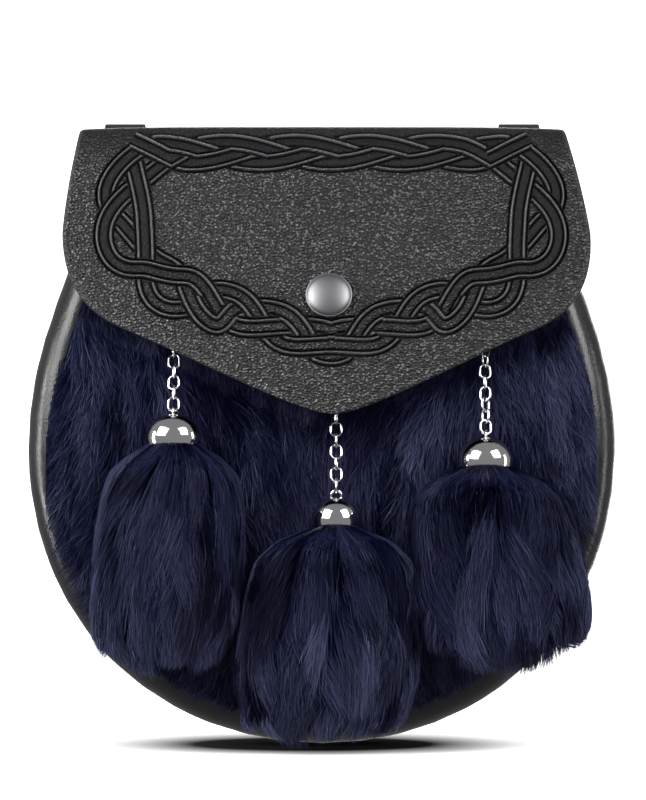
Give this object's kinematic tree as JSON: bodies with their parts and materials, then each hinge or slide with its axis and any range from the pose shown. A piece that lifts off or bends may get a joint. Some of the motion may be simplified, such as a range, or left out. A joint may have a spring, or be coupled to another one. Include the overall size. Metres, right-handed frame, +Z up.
{
  "type": "sporran pouch",
  "caption": "Round leather sporran pouch: rolled rim, dyed fur front, embossed folded flap with a snap, and fur tassels under domed metal caps on chains.",
  "frame": {"origin": "on the strap line that carries the pouch: the middle of the gap of the belt loops, midway between the two loops at the back", "axes": "+Z up as worn, -Y the way the fur front faces, +X to the right of someone who looks at the front"},
  "size_m": [0.1898, 0.0906, 0.2023],
  "materials": {
    "gusset_leather": "smooth black leather, satin, rolled at the rim",
    "flap_leather": "black grained leather with an embossed interlace border",
    "navy_fur": "dyed navy rabbit fur, combed down",
    "tassel_fur": "dyed navy fur with greyish tips",
    "polished_metal": "polished nickel plate",
    "gunmetal": "satin dark nickel"
  },
  "bodies": {
    "root": {"back_panel": "gusset_leather", "gusset": "gusset_leather", "fur_front": "navy_fur", "flap": "flap_leather", "snap_cap": "gunmetal", "snap_socket": "gunmetal", "snap_stud": "gunmetal", "belt_loop_left": "gusset_leather", "belt_loop_right": "gusset_leather", "anchor_left": "gunmetal", "chain_left_link_01": "polished_metal", "chain_left_link_02": "polished_metal", "chain_left_link_03": "polished_metal", "chain_left_link_04": "polished_metal", "chain_left_link_05": "polished_metal", "chain_left_link_06": "polished_metal", "chain_left_link_07": "polished_metal", "chain_left_link_08": "polished_metal", "cap_left": "polished_metal", "tassel_left": "tassel_fur", "anchor_centre": "gunmetal", "chain_centre_link_01": "polished_metal", "chain_centre_link_02": "polished_metal", "chain_centre_link_03": "polished_metal", "chain_centre_link_04": "polished_metal", "chain_centre_link_05": "polished_metal", "chain_centre_link_06": "polished_metal", "chain_centre_link_07": "polished_metal", "chain_centre_link_08": "polished_metal", "chain_centre_link_09": "polished_metal", "cap_centre": "polished_metal", "tassel_centre": "tassel_fur", "anchor_right": "gunmetal", "chain_right_link_01": "polished_metal", "chain_right_link_02": "polished_metal", "chain_right_link_03": "polished_metal", "chain_right_link_04": "polished_metal", "chain_right_link_05": "polished_metal", "chain_right_link_06": "polished_metal", "chain_right_link_07": "polished_metal", "chain_right_link_08": "polished_metal", "chain_right_link_09": "polished_metal", "chain_right_link_10": "polished_metal", "cap_right": "polished_metal", "tassel_right": "tassel_fur"}
  },
  "joints": []
}
